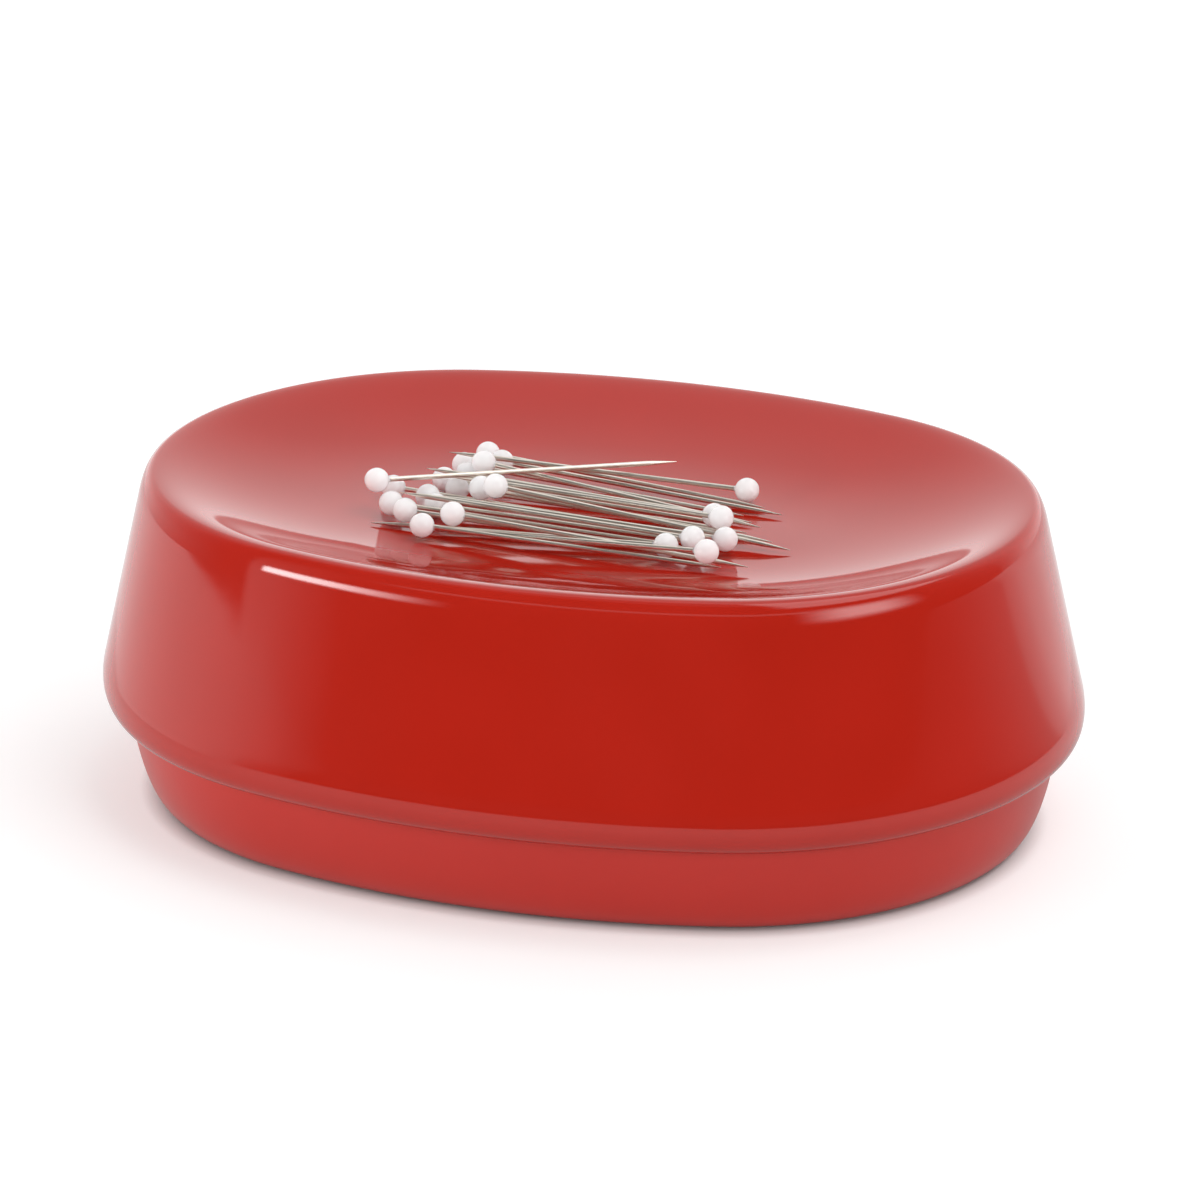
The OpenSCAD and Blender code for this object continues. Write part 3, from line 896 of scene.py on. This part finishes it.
# Section of the base: underside, rounded foot, curved wall, rim inside the skirt, then the inner face
def addBaseMoulding(size, outline):
    foot = np.array([size["inset"] + size["taper"], size["underside"]])
    top = np.array([size["inset"], outline["lipHeight"]])
    footCorner = [size["inset"] + size["upright"], size["underside"] + size["footRound"]]
    wall = bend(foot, footCorner, top, size["wallSteps"])
    rim = [[size["inset"], size["rimTop"]], [size["inset"] + size["wall"], size["rimTop"]]]
    floorTop = size["underside"] + size["floor"]
    innerFoot = [foot[0] + size["wall"], floorTop]
    strip = straight([foot[0] + size["underStrip"], size["underside"]], foot, size["stripSteps"])
    walls = joinStretches([
        strip, wall, np.array([wall[-1]] + rim + [[rim[1][0], outline["lipHeight"]], innerFoot]),
    ])
    under, underShrink = levelFloor(*strip[0], size["floorSteps"])
    floor, floorShrink = levelFloor(innerFoot[0], floorTop, size["floorSteps"])
    section = np.concatenate([under, walls, floor[::-1]])
    shrink = np.concatenate([underShrink, np.ones(len(walls)), floorShrink[::-1]])
    piece = addRings("baseMoulding", carryRoundOval(section, outline, shrink)[None])
    screws = [(s.min(0) + s.max(0)) / 2 / mm for s in solidsOf("base_screws")]
    feet = [(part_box(f)[0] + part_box(f)[1]) / 2 / mm for f in footNodes]
    low, high = size["underside"] - size["cutMargin"], size["towerTop"] + size["cutMargin"]
    sunk = floorTop - size["cutMargin"]
    tower = [
        (0, sunk), (size["towerRadius"], sunk), (size["towerRadius"], size["towerTop"]),
        (0, size["towerTop"]),
    ]
    recess = [
        (0, low), (size["recessRadius"], low), (size["recessRadius"], size["recessTop"]),
        (size["holeRadius"], size["recessTop"]), (size["holeRadius"], high), (0, high),
    ]
    seat = [
        (0, low), (size["footSeatRadius"], low), (size["footSeatRadius"], size["footSeatTop"]),
        (0, size["footSeatTop"]),
    ]
    for name, profile, places, operation in (
        ("towers", tower, screws, "UNION"), ("recesses", recess, screws, "DIFFERENCE"),
        ("footSeats", seat, feet, "DIFFERENCE"),
    ):
        tools = np.stack([turned(profile, place) for place in places])
        combine(piece, addRings(name, tools), operation)
    shadeSmooth(piece.data, hardEdge)
    return piece


# The separate solids of a CAD node, each as its points: joined corners share the lowest label they reach
def solidsOf(node):
    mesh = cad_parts[node].data
    corners = np.empty(len(mesh.vertices) * 3, np.float32)
    mesh.vertices.foreach_get("co", corners)
    points, merged = np.unique(np.round(corners.reshape(-1, 3), 6), axis=0, return_inverse=True)
    edges = np.empty(len(mesh.edges) * 2, np.int32)
    mesh.edges.foreach_get("vertices", edges)
    edges = merged.reshape(-1)[edges].reshape(-1, 2)
    label = np.arange(len(points))
    changed = True
    while changed:
        lowest = np.minimum(label[edges[:, 0]], label[edges[:, 1]])
        before = label.copy()
        np.minimum.at(label, edges[:, 0], lowest)
        np.minimum.at(label, edges[:, 1], lowest)
        changed = (label != before).any()
    return [points[label == one] for one in np.unique(label)]


footNodes = ["foot_front_left", "foot_front_right", "foot_rear_left", "foot_rear_right"]
baseMoulding = addBaseMoulding(base, bowl)
baseMoulding.data.materials.clear()
dress(baseMoulding, satinRed, "bowl", ["base_shell"])
print("base moulding cut")

# Rubber feet, in mm: a disc whose lower edge is a quarter circle
foot = {"radius": 5, "round": 0.35, "steps": 6}


def addFoot(size, node):
    low, high = (np.array(corner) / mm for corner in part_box(node))
    middle = (low + high) / 2
    turn = np.linspace(-math.pi / 2, 0, size["steps"] + 1)
    edge = [
        (size["radius"] - size["round"] * (1 - math.cos(t)), low[2] + size["round"] * (1 + math.sin(t)))
        for t in turn
    ]
    profile = [(0, low[2])] + edge + [(size["radius"], high[2]), (0, high[2])]
    piece = addRings(node + "Pad", turned(profile, middle)[None])
    dress(piece, footRubber, "bowl", [node])


for node in footNodes:
    addFoot(foot, node)
print("feet turned")

# Ball head pin, in mm
pin = {
    "ballRadius": 1.4,
    "shaftRadius": 0.28,
    "shaftHold": 2.0,  # length of shaft inside the ball
    "pointLength": 3.5,
    "pointRadius": 0.03,
    "pointFullness": 1.25,  # 1 is a straight cone
    "neckRadius": 0.38,  # where the ball's plastic draws out along the shaft
    "neckLength": 0.14,
    "neckCorner": 0.03,  # from the ball and the shaft to the corner that the neck rounds
    "neckEdge": 0.015,  # plastic left round the shaft at the neck's end
    "patternShift": 7,  # what the wire's pattern moves on by from pin to pin, so that no two match
    "ballColumns": 40,
    "ballRows": 28,
    "shaftColumns": 20,
    "shaftSteps": 12,
    "pointRows": 9,
    "neckSteps": 6,
}


# Frame of each shaft in a node: its blunt end, and axes whose third runs along it to the point
def shaftFrames(node):
    endDepth = 0.1 * mm  # points this close to an end belong to it
    starts, frames = [], []
    for points in solidsOf(node):
        middle = points.mean(0)
        along = np.linalg.svd(points - middle, full_matrices=False)[2][0]
        place = (points - middle) @ along
        ends = [points[place < place.min() + endDepth], points[place > place.max() - endDepth]]
        spread = [np.ptp(end, axis=0).max() for end in ends]
        blunt, tip = (ends[0], ends[1]) if spread[0] > spread[1] else (ends[1], ends[0])
        start, end = (blunt.min(0) + blunt.max(0)) / 2, (tip.min(0) + tip.max(0)) / 2
        third = (end - start) / np.linalg.norm(end - start)
        first = np.cross([0, 0, 1], third)
        first = first / np.linalg.norm(first)
        starts.append(start / mm)
        frames.append(np.stack([first, np.cross(third, first), third]))
    return np.array(starts), np.array(frames), np.linalg.norm(end - start) / mm


# Carries a local ring grid to every shaft: place = start + x first + y second + z third
def carryToShafts(local, starts, frames):
    return (starts[:, None, None] + np.einsum("rck,pkj->prcj", local / mm, frames)) * mm


# Lays a straight round wire with a ground point in the place of each shaft of a node
def addShafts(name, size, node, body):
    starts, frames, length = shaftFrames(node)
    straightEnd = length - size["pointLength"]
    # Ground point: the radius falls as a slightly full curve, 1 - t^pointFullness
    t = np.linspace(0, 1, size["pointRows"])[:, None]
    fall = size["shaftRadius"] - size["pointRadius"]
    point = np.concatenate([
        size["pointRadius"] + fall * (1 - t ** size["pointFullness"]), straightEnd + size["pointLength"] * t,
    ], axis=1)
    barrel = straight([size["shaftRadius"], 0], [size["shaftRadius"], straightEnd], size["shaftSteps"])
    profile = np.concatenate([[[0, 0]], barrel, point[1:], [[0, length]]])
    local = turned(profile, (0, 0), size["shaftColumns"])
    shift = np.arange(len(starts))[:, None, None, None] * size["patternShift"] * mm
    attribute = np.broadcast_to(local[None], (len(starts), *local.shape)) + shift
    piece = addRings(name, carryToShafts(local, starts, frames), attribute=attribute)
    dress(piece, wire, body, [node])


# Moulds a ball on the blunt end of each of those wires
def addHeads(name, size, shaftNode, node, body):
    starts, frames, _ = shaftFrames(shaftNode)
    middle = size["shaftHold"] - size["ballRadius"]
    # Ball, out by the sine and up by minus the cosine, to where its plastic draws out in a hollow curve
    reach = math.pi - math.asin(size["neckRadius"] / size["ballRadius"])
    turn = np.linspace(0, reach, size["ballRows"])[:, None]
    ball = np.concatenate([np.sin(turn), -np.cos(turn)], axis=1) * size["ballRadius"] + [0, middle]
    corner = [size["shaftRadius"] + size["neckCorner"], ball[-1][1] + size["neckCorner"]]
    end = [size["shaftRadius"] + size["neckEdge"], middle + size["ballRadius"] + size["neckLength"]]
    neck = bend(ball[-1], corner, end, size["neckSteps"])
    profile = np.concatenate([ball, neck[1:], [[0, end[1]]]])
    local = turned(profile, (0, 0), size["ballColumns"])
    piece = addRings(name, carryToShafts(local, starts, frames))
    dress(piece, ballWhite, body, [node])


pinGroups = {"leftPins": ("left_pin", "heap"), "rightPins": ("right_pin", "heap")}
for name, (node, body) in pinGroups.items():
    addShafts(name + "Shafts", pin, node + "_shafts", body)
    addHeads(name + "Heads", pin, node + "_shafts", node + "_heads", body)
for name in ("front", "second", "upper", "crossing"):
    addShafts(name + "PinShaft", pin, name + "_pin_shaft", name + "_pin")
    addHeads(name + "PinHead", pin, name + "_pin_shaft", name + "_pin_head", name + "_pin")
print("pins laid in the dish")

# CAD nodes that keep their shape
cadFinishes = {
    "magnet_left": ferrite,
    "magnet_right": ferrite,
    "keeper_plate": rolledSteel,
    "foam_pad": foam,
    "magnet_tray": trayBlack,
    "tray_screws": zinc,
    "base_screws": zinc,
}
for node, material in cadFinishes.items():
    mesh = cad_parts[node].data
    mesh.materials.clear()
    mesh.materials.append(material)
print("inner pieces finished")
